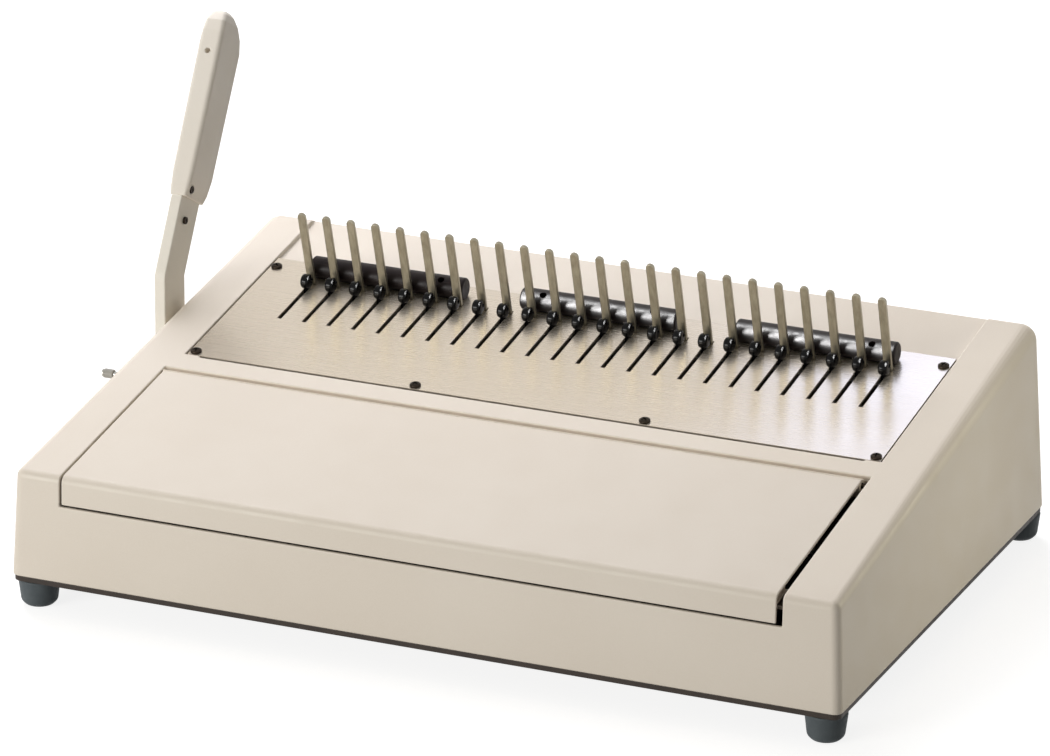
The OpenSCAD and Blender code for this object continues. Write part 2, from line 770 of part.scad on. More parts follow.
// Side frames, which stand on the base plate and carry the deck, the punch set and the shaft
module frame(side) color(steel) machine() on_side(side) {
    front_y = deck_y(frame_front_s, frame_top_n);
    back_y = deck_y(frame_rear_s, frame_top_n);
    difference() {
        union() {
            slab_x(frame_x, frame_out)
                polygon([[front_y, 0], [back_y, 0],
                         [back_y, deck_z(frame_rear_s, frame_top_n)],
                         [front_y, deck_z(frame_front_s, frame_top_n)]]);
            box([frame_x, front_y, 0], [frame_out + foot_flange, back_y, frame_t]);
            slope_frame()
                box([frame_x, deck_front, frame_top_n - 1], [frame_x + flange_w, frame_rear_s, deck_under]);
            if (side > 0)
                slope_frame() rod_x(frame_x, spring_x + spring_wire, anchor_d, anchor_s, anchor_n);
        }
        rod_x(frame_x - 1, frame_out + 1, 2 * (bush_r + seat_gap), pivot_y, pivot_z);
        slope_frame() {
            frame_bolt_holes();
            at_deck_screws()
                translate([0, 0, deck_under - 3]) cylinder(d = screw_d + 2 * seat_gap, h = 6);
            rod_x(frame_x - 1, frame_out + 1, crank_stop_d + 2 * seat_gap, crank_stop_s, crank_stop_n);
        }
        for (y = frame_screw_ys)
            translate([frame_screw_x, y, -1]) cylinder(d = screw_d + 2 * seat_gap, h = frame_t + 2);
    }
}
module frame_left() frame(-1);
module frame_right() frame(1);

// Screws through the side frames into the die plate, the punch guide and the finger rail
module frame_bolt_holes()
    both_sides()
        for (spot = bolt_spots)
            rod_x(frame_out - frame_bolt_l, frame_out + 1, screw_d + 2 * seat_gap, spot[0], spot[1]);

module frame_bolts() color(dark) on_slope()
    both_sides()
        for (spot = bolt_spots)
            translate([frame_out, spot[0], spot[1]])
                rotate([0, 90, 0]) screw(screw_d, frame_bolt_l - 1, head_d, head_h);

module frame_screws() color(dark) machine()
    both_sides()
        for (y = frame_screw_ys)
            translate([frame_screw_x, y, frame_t]) screw(screw_d, frame_t + base_t, head_d, head_h);

// Punch set: the paper stands in the slot between the die plate and the punch guide
module tine_holes(s0, s1, grow) for (x = tine_x)
    box([x - punch_w / 2 - grow, s0, -punch_n - punch_h / 2 - grow],
        [x + punch_w / 2 + grow, s1, -punch_n + punch_h / 2 + grow]);

module die_plate() color(steel) on_slope()
    difference() {
        box([-frame_x, cross_rear - die_t, set_low_n], [frame_x, cross_rear, -wall - 0.2]);
        tine_holes(cross_rear - die_t - 1, cross_rear + 1, 2 * run_gap);
        frame_bolt_holes();
    }

module punch_guide() color(steel) on_slope()
    difference() {
        box([-frame_x, deck_front, set_low_n], [frame_x, deck_front + guide_t, deck_under]);
        tine_holes(deck_front - 1, deck_front + guide_t + 1, run_gap);
        frame_bolt_holes();
        at_deck_screws() translate([0, 0, deck_under - 4]) cylinder(d = screw_d + 2 * seat_gap, h = 5);
        both_sides() along_slope(deck_front - 1, deck_front + guide_t + 1, rod_d + 2 * seat_gap);
    }

module paper_stop() color(steel) on_slope()
    box([-frame_x, cross_rear, set_low_n], [frame_x, deck_front, stop_n]);

// A cylinder along the slope at the place of the right-hand guide rod
module along_slope(s0, s1, d)
    translate([rod_pos, s1, rod_n]) rotate([90, 0, 0]) cylinder(d = d, h = s1 - s0);

module guide_rods() color(steel) on_slope()
    both_sides() along_slope(deck_front, rod_rear, rod_d);

module punch_bar() color(steel) on_slope()
    difference() {
        box([-bar_half, bar_front, bar_low_n], [bar_half, bar_rear, bar_top_n]);
        tine_holes(bar_front - 1, bar_rear + 1, seat_gap);
        both_sides() along_slope(bar_front - 1, bar_rear + 1, rod_d + 2 * run_gap);
    }

module punches() color(steel) on_slope() tine_holes(punch_tip, bar_rear, 0);

// Yokes that turn the eccentrics' turn into the punch bar's travel
module yoke(side) color(steel) on_slope() on_side(side) {
    half_w = ecc_r + yoke_play;
    low = shaft_n + ecc_offset * cos(half_swing) - ecc_r - yoke_play;
    high = ecc_top_n + yoke_play;
    difference() {
        box([ecc_x - yoke_t / 2, bar_rear, low - yoke_wall],
            [ecc_x + yoke_t / 2, ecc_s + half_w + yoke_wall, high + yoke_wall]);
        box([ecc_x - yoke_t, ecc_s - half_w, low], [ecc_x + yoke_t, ecc_s + half_w, high]);
    }
}
module yoke_left() yoke(-1);
module yoke_right() yoke(1);

// Shaft line
module drive_shaft() color(steel) at_pivot()
    difference() {
        rod_x(-arm_out, shaft_right, shaft_d);
        rod_x(-arm_out - 1, -arm_out + 22, bolt_d + 2 * seat_gap);
    }

module bush(side) color("#b08d57") at_pivot() on_side(side)
    difference() {
        rod_x(frame_x - 1, frame_out, 2 * bush_r);
        rod_x(frame_x - 2, frame_out + 1, shaft_d + 2 * run_gap);
    }
module bush_left() bush(-1);
module bush_right() bush(1);

module shaft_rings() color(dark) at_pivot()
    both_sides()
        difference() {
            rod_x(frame_out + pass_gap, frame_out + pass_gap + 2, shaft_d + 7);
            rod_x(frame_out, frame_out + 4, shaft_d + 2 * seat_gap);
        }

module eccentric(side) color(steel) on_slope() on_side(side)
    difference() {
        rod_x(ecc_x - ecc_t / 2, ecc_x + ecc_t / 2, 2 * ecc_r, ecc_s, ecc_n);
        rod_x(ecc_x - ecc_t, ecc_x + ecc_t, shaft_d + 2 * seat_gap, shaft_s, shaft_n);
    }
module eccentric_left() eccentric(-1);
module eccentric_right() eccentric(1);

// Cranks whose pins push the forks of the hook rail
module hook_crank(side) color(steel) on_slope() on_side(side) translate([0, shaft_s, shaft_n])
    rotate([-half_swing, 0, 0]) {
        difference() {
            slab_x(crank_x, crank_x + crank_t)
                union() {
                    circle(crank_hub_r);
                    translate([-crank_boss_r, 0]) square([2 * crank_boss_r, crank_r]);
                    translate([0, crank_r]) circle(crank_boss_r);
                }
            rod_x(crank_x - 1, crank_x + crank_t + 1, shaft_d + 2 * seat_gap);
        }
        rod_x(crank_x + crank_t, fork_x + fork_t + 0.8, crank_pin_d, 0, crank_r);
    }
module hook_crank_left() hook_crank(-1);
module hook_crank_right() hook_crank(1);

// Pins on the side frames that the cranks lean on at rest
module crank_stops() color(dark) on_slope()
    both_sides() rod_x(crank_x, frame_out, crank_stop_d, crank_stop_s, crank_stop_n);

// Torsion spring: a straight leg on the frame's stud, the turns, and an end in the collar
function spring_turn(k) = let (a = 90 - 360 * k / spring_rings)
    [spring_x + spring_pitch * k / spring_rings, spring_r * cos(a), spring_r * sin(a)];
spring_end = spring_turn(spring_steps);
spring_lead = 0.5 * (spring_end - spring_turn(spring_steps - 1));
spring_tail = [collar_x + collar_t / 2, spring_end[1], spring_end[2]] + spring_lead;
spring_path = concat(
    [[spring_x, -spring_leg, spring_r]],
    [for (k = [0 : spring_steps]) spring_turn(k)],
    [spring_end + [spring_wire, 0, 0] + spring_lead, spring_tail]);
function unit(v) = v / norm(v);
function tangent(path, i) = unit(path[min(i + 1, len(path) - 1)] - path[max(i - 1, 0)]);
function wire_ring(path, i, r, sides) =
    let (t = tangent(path, i),
         out = [0, path[i][1], path[i][2]],
         u = unit(out - (out * t) * t),
         v = cross(t, u))
    [for (k = [0 : sides - 1]) path[i] + r * (cos(360 * k / sides) * u + sin(360 * k / sides) * v)];

module wire(path, d, sides = 6) {
    last = len(path) - 1;
    points = [for (i = [0 : last]) each wire_ring(path, i, d / 2, sides)];
    skin = [for (i = [0 : last - 1]) for (k = [0 : sides - 1])
        let (a = i * sides + k, b = i * sides + (k + 1) % sides)
        each [[a, b + sides, b], [a, a + sides, b + sides]]];
    caps = [[for (k = [0 : sides - 1]) k], [for (k = [0 : sides - 1]) last * sides + sides - 1 - k]];
    polyhedron(points, concat(skin, caps));
}

module return_spring() color(dark) on_slope()
    translate([0, shaft_s, shaft_n]) wire(spring_path, spring_wire);

module spring_collar() color(steel) on_slope() translate([0, shaft_s, shaft_n])
    difference() {
        rod_x(collar_x, collar_x + collar_t, 2 * spring_r + spring_wire + 5);
        rod_x(collar_x - 1, collar_x + collar_t + 1, shaft_d + 2 * seat_gap);
        translate(spring_tail) rod_x(-collar_t, pass_gap, spring_wire + 2 * pass_gap);
    }

// Lever: an upright shank, a bend and an upper arm with a tang inside the grip
module in_upper() translate([-arm_mid, 0, shank_len]) rotate([-upper_lean, 0, 0]) children();

// Outline of the arm, up its back, round the tang and down its front past the bend
function above_bend(y, z) =
    [y * cos(upper_lean) + z * sin(upper_lean), shank_len - y * sin(upper_lean) + z * cos(upper_lean)];
bend_steps = 10;
arm_outline = concat(
    [[arm_w / 2, 0], [arm_w / 2, shank_len - arm_w / 2 * tan(upper_lean / 2)],
     above_bend(arm_w / 2, arm_in_grip), above_bend(-tang_front, arm_in_grip),
     above_bend(-tang_front, grip_foot)],
    [above_bend(-arm_w / 2, grip_foot)],
    [for (i = [bend_steps : -1 : 0])
        let (a = upper_lean * i / bend_steps)
        [-arm_w / 2 * cos(a), shank_len + arm_w / 2 * sin(a)]],
    [[-arm_w / 2, 0]]);

module lever_arm() color(beige) at_pivot()
    difference() {
        slab_x(-arm_out, -arm_in)
            union() {
                circle(hub_r);
                polygon(arm_outline);
            }
        rod_x(-arm_out - 1, -arm_in + 1, shaft_d + 2 * seat_gap);
        in_upper() grip_screw_holes();
    }

// Outline with round corners, of radius r at the front and back_r at the back
function round_box(x0, y0, x1, y1, r, back_r) = [
    for (corner = [0 : 3])
    let (cr = corner < 2 ? back_r : r,
         cx = corner == 0 || corner == 3 ? x1 - cr : x0 + cr,
         cy = corner < 2 ? y1 - cr : y0 + cr)
    for (a = [0 : 18 : 90])
    [cx + cr * cos(90 * corner + a), cy + cr * sin(90 * corner + a)]];

// Cross-section of the grip at a height above the bend
module grip_section(z, front, back, t, r)
    translate([0, 0, z]) linear_extrude(0.2) polygon(round_box(-t / 2, -front, t / 2, back, r, r));

// Grip: it widens from the arm to its full section and closes in a rounded tip
module lever_grip() color(beige) at_pivot() in_upper()
    difference() {
        union() {
            hull() {
                grip_section(grip_foot, grip_front - 0.5, arm_w / 2 + 1.5, arm_t + 3, 1.5);
                grip_section(grip_foot + 5, grip_front - 0.2, grip_back - 1.4, grip_t - 2, 2);
                grip_section(grip_foot + 14, grip_front, grip_back - 0.4, grip_t - 0.4, 2.5);
            }
            hull() {
                grip_section(grip_foot + 14, grip_front, grip_back - 0.4, grip_t - 0.4, 2.5);
                grip_section(upper_len - 19, grip_front + 0.3, grip_back, grip_t, 2.5);
                grip_section(upper_len - 12, grip_front, grip_back - 2.6, grip_t - 0.4, 2.5);
                grip_section(upper_len - 6, grip_front - 1, grip_back - 7, grip_t - 1.6, 2.5);
                grip_section(upper_len - 2, grip_front - 3.5, grip_back - 12, grip_t - 4, 2.5);
                grip_section(upper_len - 0.2, grip_front - 5.5, grip_back - 15.5, grip_t - 7, 1.5);
            }
        }
        box([-arm_t / 2 - seat_gap, -tang_front - seat_gap, 0],
            [arm_t / 2 + seat_gap, arm_w / 2 + seat_gap, arm_in_grip + seat_gap]);
        grip_screw_holes();
        rod_x(grip_seat, grip_t, grip_head_d + 2 * pass_gap, grip_screw_spots[0][0], grip_screw_spots[0][1]);
        translate([0, -grip_front - 1, tip_hole_z]) rotate([-90, 0, 0]) cylinder(d = tip_hole_d, h = 5);
    }

// Two screws in the arm's inner face, one in the foot of the grip and one below it
module grip_screw_holes() for (spot = grip_screw_spots)
    rod_x(-arm_t / 2 + 1, grip_t, screw_d + 2 * seat_gap, spot[0], spot[1]);

module grip_screws() color(dark) at_pivot() in_upper()
    for (i = [0, 1])
        translate([grip_screw_seats[i], grip_screw_spots[i][0], grip_screw_spots[i][1]])
            rotate([0, 90, 0]) screw(screw_d, arm_t - 2, grip_head_d, 1.4);

module lever_bolt() color(steel) at_pivot()
    translate([-arm_out - washer_t, 0, 0]) rotate([0, -90, 0]) {
        cylinder(d = 1.8 * bolt_d, h = bolt_head_h, $fn = 6);
        translate([0, 0, -20]) cylinder(d = bolt_d, h = 20);
    }

module lever_washer() color(steel) at_pivot()
    difference() {
        rod_x(-arm_out - washer_t, -arm_out, 3 * bolt_d);
        rod_x(-arm_out - washer_t - 1, -arm_out + 1, bolt_d + 2 * seat_gap);
    }

// Peg on the left wall that stops the lever's swing, with a plastic sleeve
module stop_peg() color(steel) machine() {
    rod_x(-peg_end - 0.5, -peg_wall_x + 2 * wall, peg_core_d, peg_y, peg_z);
    rod_x(-peg_end - 1, -peg_end, peg_d - 0.6, peg_y, peg_z);
}

module stop_sleeve() color(steel) machine()
    difference() {
        rod_x(-peg_end, -peg_wall_x - peg_stand, peg_d, peg_y, peg_z);
        rod_x(-peg_end - 1, -peg_wall_x + 1, peg_core_d + 2 * seat_gap, peg_y, peg_z);
    }

casing();
base_plate();
foot_front_left();
foot_front_right();
foot_rear_left();
foot_rear_right();
foot_screws();
casing_screws();
front_lid();
lid_hinge_pins();
chip_tray();
chip_chute();
deck_plate();
deck_screws();
fingers();
finger_rail();
spine_rest_left();
spine_rest_middle();
spine_rest_right();
rest_screws();
hook_rail();
hooks();
rail_guide_left();
rail_guide_right();
frame_left();
frame_right();
frame_bolts();
frame_screws();
die_plate();
punch_guide();
paper_stop();
punch_bar();
punches();
guide_rods();
yoke_left();
yoke_right();
drive_shaft();
bush_left();
bush_right();
shaft_rings();
eccentric_left();
eccentric_right();
hook_crank_left();
hook_crank_right();
crank_stops();
return_spring();
spring_collar();
lever_arm();
lever_grip();
grip_screws();
lever_bolt();
lever_washer();
stop_peg();
stop_sleeve();
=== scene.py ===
import math

import bmesh
import bpy
from mathutils import Matrix, Vector


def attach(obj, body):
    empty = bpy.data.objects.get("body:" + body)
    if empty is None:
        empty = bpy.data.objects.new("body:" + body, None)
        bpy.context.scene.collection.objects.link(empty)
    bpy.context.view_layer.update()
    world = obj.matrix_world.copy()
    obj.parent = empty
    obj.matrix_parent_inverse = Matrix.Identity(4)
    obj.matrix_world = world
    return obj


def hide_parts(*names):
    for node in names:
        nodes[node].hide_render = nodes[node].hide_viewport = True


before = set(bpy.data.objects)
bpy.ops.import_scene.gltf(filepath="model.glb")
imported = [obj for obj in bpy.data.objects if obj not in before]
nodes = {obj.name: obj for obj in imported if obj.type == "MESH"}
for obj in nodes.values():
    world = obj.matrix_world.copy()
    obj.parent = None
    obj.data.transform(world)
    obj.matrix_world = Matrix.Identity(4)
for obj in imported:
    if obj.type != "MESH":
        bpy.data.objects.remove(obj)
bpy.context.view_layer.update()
scene = bpy.context.scene
slot_of = {name: obj.material_slots[0].material.name for name, obj in nodes.items()}

# Sizes of the part in metres: the casing's own frame, and the frame of its slope
MM = 0.001
CASE_D = 314.5 * MM
FLOOR_Z = 17.5 * MM
X_MID = -5.68822 * MM
TOP_Y0 = 1.725 * MM
FRONT_H = 57.5 * MM
SLOPE = math.radians(8.596849)
DECK_TOP_N = -0.5 * MM
PITCH = 14.2875 * MM
TINES = 24

# Hooks: the place up the slope, the head with its mouth, and the stem; angles in degrees
HOOK_S = 229 * MM
HOOK_D = 8 * MM
HOOK_W = 5 * MM
HOOK_LIFT = 0.3 * MM
HOOK_FILLET = 1.7 * MM
HOOK_SHARP = 40
HOOK_STEPS, FILLET_STEPS, MOUTH_STEPS = 48, 7, 16
MOUTH_Y = HOOK_D * 0.2
MOUTH_Z = HOOK_D * 0.62
MOUTH_R = HOOK_D * 0.2
MOUTH_TILT = 40
UPPER_LIP = 0.4
STEM_W = 1.8 * MM
STEM_L = 4.4 * MM
STEM_TOP = HOOK_D / 2 * 0.6
STEM_FOOT_N = -7 * MM

# Deck screws: the places, the turn of each, the shank, the head and its cross recess; angles in degrees
DECK_SCREW_X = 190.49625 * MM
DECK_SCREW_MID = 4.5 * PITCH
DECK_SCREW_FRONT = 145.5 * MM
DECK_SCREW_REAR = 247 * MM
SCREW_TURNS = (20, 65, 38, 8, 50, 80)
SCREW_D = 3 * MM
SCREW_L = 4.3 * MM
SCREW_SHARP = 35
SCREW_STEPS, DOME_STEP = 40, 10
TIP_IN, TIP_UP = 0.2 * MM, 0.3 * MM
HEAD_D = 6 * MM
HEAD_H = 1.8 * MM
HEAD_RIM = HEAD_H * 0.45
HEAD_CHAMFER = 0.15 * MM
CROSS_REACH = HEAD_D * 0.32
CROSS_DEPTH = HEAD_H * 0.62
CROSS_LOW, CROSS_HIGH = HEAD_D * 0.05, HEAD_D * 0.085


def machine(x, y, z):
    """A point of the machine's own frame in the row frame, in metres."""
    return Vector((x - X_MID, y - CASE_D / 2, z + FLOOR_Z))


def on_slope(x, s, n):
    """A point at s up the slope and n above it, in the row frame, in metres."""
    c, d = math.cos(SLOPE), math.sin(SLOPE)
    return machine(x, TOP_Y0 + s * c - n * d, FRONT_H + s * d + n * c)


# Material helpers; most values of a noise lie between its low and its high
NOISE_LOW, NOISE_HIGH = 0.3, 0.7
MIX_FAC, MIX_A, MIX_B, MIX_OUT = 0, 6, 7, 2


def new_material(name):
    mat = bpy.data.materials.new(name)
    mat.use_nodes = True
    tree = mat.node_tree
    shader = next(n for n in tree.nodes if n.type == "BSDF_PRINCIPLED")
    return mat, tree, shader


def add(tree, kind, **options):
    """A new node with its options set."""
    node = tree.nodes.new(kind)
    for key, value in options.items():
        setattr(node, key, value)
    return node


def coords(tree, scale=(1, 1, 1), turn=(0, 0, 0)):
    """Object coordinates, stretched and turned."""
    source = add(tree, "ShaderNodeTexCoord")
    mapping = add(tree, "ShaderNodeMapping")
    mapping.inputs["Scale"].default_value = scale
    mapping.inputs["Rotation"].default_value = turn
    tree.links.new(source.outputs["Object"], mapping.inputs["Vector"])
    return mapping.outputs["Vector"]


def noise(tree, vector, scale, detail=3, rough=0.5):
    node = add(tree, "ShaderNodeTexNoise")
    node.inputs["Scale"].default_value = scale
    node.inputs["Detail"].default_value = detail
    node.inputs["Roughness"].default_value = rough
    tree.links.new(vector, node.inputs["Vector"])
    return node.outputs["Fac"]


def ramp(tree, fac, dark, light):
    """A colour from dark to light by a noise."""
    node = add(tree, "ShaderNodeValToRGB")
    stops = ((NOISE_LOW, dark), (NOISE_HIGH, light))
    for element, (place, colour) in zip(node.color_ramp.elements, stops):
        element.position = place
        element.color = (*colour, 1)
    tree.links.new(fac, node.inputs["Fac"])
    return node.outputs["Color"]


def spread(tree, fac, low, high, from_low=NOISE_LOW, from_high=NOISE_HIGH):
    """Maps a value from one range onto low to high."""
    node = add(tree, "ShaderNodeMapRange")
    node.inputs["From Min"].default_value = from_low
    node.inputs["From Max"].default_value = from_high
    node.inputs["To Min"].default_value = low
    node.inputs["To Max"].default_value = high
    tree.links.new(fac, node.inputs["Value"])
    return node.outputs["Result"]


def mixed(tree, fac, base, colour):
    """The socket base mixed with a plain colour by the socket fac."""
    node = add(tree, "ShaderNodeMix", data_type="RGBA")
    tree.links.new(fac, node.inputs[MIX_FAC])
    tree.links.new(base, node.inputs[MIX_A])
    node.inputs[MIX_B].default_value = (*colour, 1)
    return node.outputs[MIX_OUT]


def bumped(tree, shader, height, strength, distance):
    node = add(tree, "ShaderNodeBump")
    node.inputs["Strength"].default_value = strength
    node.inputs["Distance"].default_value = distance
    tree.links.new(height, node.inputs["Height"])
    tree.links.new(node.outputs["Normal"], shader.inputs["Normal"])


def edge_mask(tree, radius, low, high):
    """1 along the edges and 0 on the flats, from the rounded normal."""
    soft = add(tree, "ShaderNodeBevel", samples=4)
    soft.inputs["Radius"].default_value = radius
    geo = add(tree, "ShaderNodeNewGeometry")
    dot = add(tree, "ShaderNodeVectorMath", operation="DOT_PRODUCT")
    tree.links.new(soft.outputs["Normal"], dot.inputs[0])
    tree.links.new(geo.outputs["Normal"], dot.inputs[1])
    return spread(tree, dot.outputs["Value"], 1, 0, low, high)


def srgb(r, g, b):
    """An 8-bit screen colour as a linear one."""
    return tuple(c / 255 / 12.92 if c < 10.3 else ((c / 255 + 0.055) / 1.055) ** 2.4 for c in (r, g, b))


# Kinds of material: sizes of the noises, what they do to the roughness, and radius and range of the edge mask
GRAIN_ROUGH = 0.6
PAINT_CLOUD, PAINT_SPECK, PAINT_PATCH = 9, 1500, 60
PAINT_SPECK_SHARE = 0.22
PAINT_SMOOTHER, PAINT_ROUGHER = 0.05, 0.06
PAINT_EDGE = (0.0012, 0.72, 0.97)
PAINT_BUMP = 0.35
METAL_PATCH = 22
METAL_LINE_ROUGH = 0.65
METAL_SMOOTHER, METAL_ROUGHER, METAL_PATCHY = 0.04, 0.05, 0.03
METAL_DEPTH = 0.0001
MOULD_CLOUD, MOULD_PATCH = 70, 350
MOULD_SMOOTHER, MOULD_ROUGHER = 0.06, 0.08
MOULD_EDGE = (0.0006, 0.7, 0.96)
MOULD_BUMP = 0.4
MATERIALS = {}


def paint(slot, light, dark, wear_and_sheen, rough, grain, depth):
    """Sprayed paint with a fine orange peel, cloudy shade, and paler edges that are partly rubbed wear and
    partly a painted highlight.
    """
    mat, tree, shader = new_material(slot)
    place = coords(tree)
    base = ramp(tree, noise(tree, place, PAINT_CLOUD), dark, light)
    speck = spread(tree, noise(tree, place, PAINT_SPECK, detail=2), 0, PAINT_SPECK_SHARE)
    tint = mixed(tree, speck, base, wear_and_sheen)
    # Paler edges by the edge mask: partly rubbed wear, partly a painted highlight
    edged = mixed(tree, edge_mask(tree, *PAINT_EDGE), tint, wear_and_sheen)
    tree.links.new(edged, shader.inputs["Base Color"])
    patches = spread(tree, noise(tree, place, PAINT_PATCH), rough - PAINT_SMOOTHER, rough + PAINT_ROUGHER)
    tree.links.new(patches, shader.inputs["Roughness"])
    bumped(tree, shader, noise(tree, place, grain, rough=GRAIN_ROUGH), PAINT_BUMP, depth)
    MATERIALS[slot] = mat


def metal(slot, light, dark, rough, grain, bump, brushed=0.0, turn=(0, 0, 0), metallic=1.0):
    """Metal with a grain in three directions, and with stretched highlights where it is brushed."""
    mat, tree, shader = new_material(slot)
    lines = noise(tree, coords(tree, grain, turn), 1, detail=4, rough=METAL_LINE_ROUGH)
    patches = noise(tree, coords(tree), METAL_PATCH)
    tree.links.new(ramp(tree, lines, dark, light), shader.inputs["Base Color"])
    shader.inputs["Metallic"].default_value = metallic
    fine = spread(tree, lines, rough - METAL_SMOOTHER, rough + METAL_ROUGHER)
    cloudy = add(tree, "ShaderNodeMath", operation="ADD")
    tree.links.new(fine, cloudy.inputs[0])
    tree.links.new(spread(tree, patches, -METAL_PATCHY, METAL_PATCHY), cloudy.inputs[1])
    tree.links.new(cloudy.outputs["Value"], shader.inputs["Roughness"])
    bumped(tree, shader, lines, bump, METAL_DEPTH)
    if brushed:
        shader.inputs["Anisotropic"].default_value = brushed
        tangent = add(tree, "ShaderNodeTangent", direction_type="RADIAL", axis="X")
        tree.links.new(tangent.outputs["Tangent"], shader.inputs["Tangent"])
    MATERIALS[slot] = mat


def moulded(slot, light, dark, wear_and_sheen, rough, grain, depth, gloss=0.5):
    """Moulded plastic, rubber or black paint with a fine grain, cloudy shade, and paler edges that are partly
    wear and partly a painted highlight.
    """
    mat, tree, shader = new_material(slot)
    place = coords(tree)
    base = ramp(tree, noise(tree, place, MOULD_CLOUD), dark, light)
    # Paler edges by the edge mask: partly wear, partly a painted highlight
    edged = mixed(tree, edge_mask(tree, *MOULD_EDGE), base, wear_and_sheen)
    tree.links.new(edged, shader.inputs["Base Color"])
    patches = spread(tree, noise(tree, place, MOULD_PATCH), rough - MOULD_SMOOTHER, rough + MOULD_ROUGHER)
    tree.links.new(patches, shader.inputs["Roughness"])
    shader.inputs["Specular IOR Level"].default_value = gloss
    bumped(tree, shader, noise(tree, place, grain, rough=GRAIN_ROUGH), MOULD_BUMP, depth)
    MATERIALS[slot] = mat


# Materials, one for each slot of the record
# The third colour tints the specks, and the paler edges that are partly wear and partly a painted highlight
paint("body_paint", light=srgb(232, 222, 209), dark=srgb(227, 216, 202), wear_and_sheen=srgb(238, 230, 219),
      rough=0.46, grain=900, depth=0.00012)
paint("lever_paint", light=srgb(243, 238, 228), dark=srgb(238, 232, 220), wear_and_sheen=srgb(246, 241, 232),
      rough=0.5, grain=800, depth=0.0001)
paint("grip_plastic", light=srgb(242, 235, 225), dark=srgb(237, 229, 218), wear_and_sheen=srgb(245, 240, 231),
      rough=0.5, grain=1100, depth=0.0001)
moulded("base_black", light=srgb(58, 48, 41), dark=srgb(44, 37, 32), wear_and_sheen=srgb(84, 74, 66),
        rough=0.5, grain=1200, depth=0.0001, gloss=0.3)
moulded("foot_rubber", light=srgb(88, 95, 99), dark=srgb(73, 80, 84), wear_and_sheen=srgb(112, 119, 122),
        rough=0.62, grain=1500, depth=0.0001, gloss=0.3)
moulded("sleeve_grey", light=srgb(168, 165, 158), dark=srgb(152, 149, 142), wear_and_sheen=srgb(190, 187, 180),
        rough=0.5, grain=1200, depth=0.0001)
moulded("hook_black", light=srgb(10, 9, 10), dark=srgb(6, 6, 7), wear_and_sheen=srgb(20, 19, 20),
        rough=0.16, grain=1400, depth=0.00002, gloss=0.16)
moulded("rest_black", light=srgb(34, 25, 25), dark=srgb(24, 17, 18), wear_and_sheen=srgb(46, 38, 37),
        rough=0.42, grain=900, depth=0.00002, gloss=0.2)
moulded("tray_plastic", light=srgb(54, 55, 57), dark=srgb(44, 45, 47), wear_and_sheen=srgb(80, 82, 84),
        rough=0.5, grain=1000, depth=0.0001)
metal("deck_steel", light=srgb(209, 199, 185), dark=srgb(203, 193, 179), rough=0.27,
      grain=(6, 3600, 3600), bump=0.02, brushed=0.4, turn=(SLOPE, 0, 0), metallic=0.72)
metal("finger_steel", light=srgb(182, 175, 156), dark=srgb(154, 148, 131), rough=0.42,
      grain=(500, 500, 30), bump=0.05)
metal("screw_dark", light=srgb(70, 61, 53), dark=srgb(44, 38, 33), rough=0.36,
      grain=(700, 700, 700), bump=0.1)
metal("screw_zinc", light=srgb(204, 203, 198), dark=srgb(180, 179, 174), rough=0.3,
      grain=(700, 700, 700), bump=0.12)
metal("inner_steel", light=srgb(190, 190, 188), dark=srgb(160, 160, 158), rough=0.38,
      grain=(30, 1500, 1500), bump=0.12)
metal("bush_bronze", light=srgb(196, 158, 98), dark=srgb(168, 130, 76), rough=0.35,
      grain=(900, 900, 900), bump=0.1)
metal("spring_steel", light=srgb(120, 122, 126), dark=srgb(90, 92, 96), rough=0.3,
      grain=(800, 800, 800), bump=0.1)


# Detail pieces
def slope_matrix(x, s, n):
    """Places a shape that is drawn with y up the slope and z along its normal."""
    return Matrix.Translation(on_slope(x, s, n)) @ Matrix.Rotation(SLOPE, 4, "X")


def closed_mesh(name, bm):
    """The form in bm as a mesh with its faces turned outwards."""
    bmesh.ops.recalc_face_normals(bm, faces=bm.faces)
    mesh = bpy.data.meshes.new(name)
    bm.to_mesh(mesh)
    bm.free()
    return mesh


def turned(profile, steps):
    """A closed turned form round z; profile is (radius, height) from the axis to the axis."""
    bm = bmesh.new()
    turn = [2 * math.pi * k / steps for k in range(steps)]
    rings = []
    for r, z in profile:
        if r == 0:
            rings.append([bm.verts.new((0, 0, z))])
        else:
            rings.append([bm.verts.new((r * math.cos(a), r * math.sin(a), z)) for a in turn])
    for low, high in zip(rings, rings[1:]):
        for k in range(steps):
            here = low[k % len(low)], low[(k + 1) % len(low)]
            above = high[(k + 1) % len(high)], high[k % len(high)]
            bm.faces.new(list(dict.fromkeys([*here, *above])))
    return closed_mesh("turned", bm)


def arc(cx, cy, r, start, end, steps):
    """Points of an arc, angles in degrees."""
    turn = [math.radians(start + (end - start) * k / steps) for k in range(steps + 1)]
    return [(cx + r * math.cos(a), cy + r * math.sin(a)) for a in turn]


def prism(outline, x0, x1):
    """An outline in y and z made solid from x0 to x1."""
    bm = bmesh.new()
    low = [bm.verts.new((x0, y, z)) for y, z in outline]
    high = [bm.verts.new((x1, y, z)) for y, z in outline]
    bm.faces.new(low)
    bm.faces.new(high)
    for k in range(len(outline)):
        bm.faces.new((low[k], low[k - 1], high[k - 1], high[k]))
    return closed_mesh("prism", bm)


def combined(mesh, tools):
    """mesh with each (operation, mesh) of tools applied to it as an exact boolean."""
    base = bpy.data.objects.new("base", mesh)
    scene.collection.objects.link(base)
    helpers = []
    for operation, tool in tools:
        other = bpy.data.objects.new("tool", tool)
        scene.collection.objects.link(other)
        helpers.append(other)
        step = base.modifiers.new("step", "BOOLEAN")
        step.operation = operation
        step.solver = "EXACT"
        step.object = other
    view = bpy.context.evaluated_depsgraph_get()
    result = bpy.data.meshes.new_from_object(base.evaluated_get(view))
    for obj in [base, *helpers]:
        bpy.data.objects.remove(obj)
    return result


